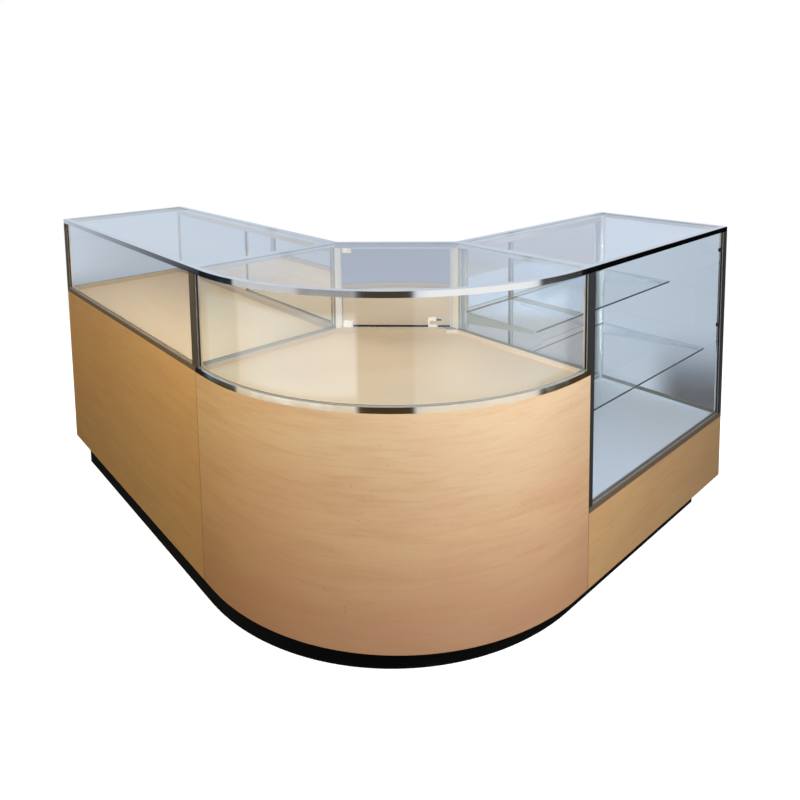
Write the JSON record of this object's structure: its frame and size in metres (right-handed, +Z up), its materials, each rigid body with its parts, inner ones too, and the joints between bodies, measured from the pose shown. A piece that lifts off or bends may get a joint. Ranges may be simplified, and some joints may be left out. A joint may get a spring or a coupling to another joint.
{
  "type": "reception desk",
  "caption": "L-shaped reception desk with a curved maple corner, glazed display cases in a slim metal frame, mirrored rear doors, storage and a black plinth.",
  "frame": {"origin": "on the floor under the middle of the desk's bounding box", "axes": "+Z up; the left wing runs along X and faces -Y, the right wing runs along Y and faces +X, and the curved corner is at +X -Y"},
  "size_m": [1.975, 1.645, 1],
  "materials": {
    "maple": "satin maple laminate",
    "white_laminate": "satin laminate",
    "plinth_black": "matt laminate",
    "frame_aluminium": "polished",
    "clear_glass": "clear",
    "mirror_glass": "mirror",
    "bright_steel": "bright plated",
    "black_nylon": "moulded"
  },
  "bodies": {
    "desk": {"corner_bent_glass": "clear_glass", "corner_carcass": "maple", "corner_deck": "maple", "corner_deck_rails": "frame_aluminium", "corner_front_panel": "maple", "corner_plinth": "plinth_black", "corner_posts": "frame_aluminium", "corner_seam_glass": "clear_glass", "corner_storage_hinges": "bright_steel", "corner_top_glass": "clear_glass", "corner_top_rails": "frame_aluminium", "left_carcass": "maple", "left_deck": "maple", "left_deck_rails": "frame_aluminium", "left_end_glass": "clear_glass", "left_front_glass": "clear_glass", "left_front_panel": "maple", "left_mirror_tracks": "frame_aluminium", "left_plinth": "plinth_black", "left_posts": "frame_aluminium", "left_storage_shelves": "maple", "left_storage_tracks": "frame_aluminium", "left_top_glass": "clear_glass", "left_top_rails": "frame_aluminium", "right_apron": "maple", "right_brackets": "bright_steel", "right_carcass": "maple", "right_deck": "white_laminate", "right_deck_rails": "frame_aluminium", "right_end_glass": "clear_glass", "right_front_glass": "clear_glass", "right_glazing_clips": "black_nylon", "right_lower_shelf": "clear_glass", "right_mirror_tracks": "frame_aluminium", "right_plinth": "plinth_black", "right_posts": "frame_aluminium", "right_standards": "bright_steel", "right_top_glass": "clear_glass", "right_top_rails": "frame_aluminium", "right_upper_shelf": "clear_glass", "seam_bolts": "bright_steel"},
    "left_mirror_inner_door": {"left_mirror_inner": "mirror_glass", "left_mirror_inner_fittings": "bright_steel"},
    "left_mirror_outer_door": {"left_mirror_outer": "mirror_glass", "left_mirror_outer_fittings": "bright_steel"},
    "left_storage_inner_door": {"left_storage_inner": "maple", "left_storage_inner_fittings": "bright_steel"},
    "left_storage_outer_door": {"left_storage_outer": "maple", "left_storage_outer_fittings": "bright_steel"},
    "right_mirror_inner_door": {"right_mirror_inner": "mirror_glass", "right_mirror_inner_fittings": "bright_steel"},
    "right_mirror_outer_door": {"right_mirror_outer": "mirror_glass", "right_mirror_outer_fittings": "bright_steel"},
    "corner_mirror_leaf": {"corner_mirror_door": "mirror_glass", "corner_mirror_fittings": "bright_steel"},
    "corner_lock": {"corner_lock_plug": "bright_steel"},
    "corner_storage_leaf": {"corner_storage_door": "maple", "corner_storage_fittings": "bright_steel"}
  },
  "joints": [
    {"name": "left_mirror_inner_slide", "type": "slide", "parent": "desk", "child": "left_mirror_inner_door", "axis": [1, 0, 0], "range_m": [0, 0.565]},
    {"name": "left_mirror_outer_slide", "type": "slide", "parent": "desk", "child": "left_mirror_outer_door", "axis": [1, 0, 0], "range_m": [-0.565, 0]},
    {"name": "left_storage_inner_slide", "type": "slide", "parent": "desk", "child": "left_storage_inner_door", "axis": [1, 0, 0], "range_m": [0, 0.565]},
    {"name": "left_storage_outer_slide", "type": "slide", "parent": "desk", "child": "left_storage_outer_door", "axis": [1, 0, 0], "range_m": [-0.565, 0]},
    {"name": "right_mirror_inner_slide", "type": "slide", "parent": "desk", "child": "right_mirror_inner_door", "axis": [0, 1, 0], "range_m": [0, 0.4]},
    {"name": "right_mirror_outer_slide", "type": "slide", "parent": "desk", "child": "right_mirror_outer_door", "axis": [0, 1, 0], "range_m": [-0.4, 0]},
    {"name": "corner_mirror_swing", "type": "hinge", "parent": "desk", "child": "corner_mirror_leaf", "pos_m": [0.24076, -0.30696, 0.85], "axis": [0, 0, 1], "range_deg": [0, 100]},
    {"name": "corner_lock_turn", "type": "hinge", "parent": "corner_mirror_leaf", "child": "corner_lock", "pos_m": [0.43802, -0.1097, 0.738], "axis": [-0.7071, 0.7071, 0], "range_deg": [0, 90]},
    {"name": "corner_storage_swing", "type": "hinge", "parent": "desk", "child": "corner_storage_leaf", "pos_m": [0.22873, -0.30132, 0.387], "axis": [0, 0, 1], "range_deg": [0, 100]}
  ]
}
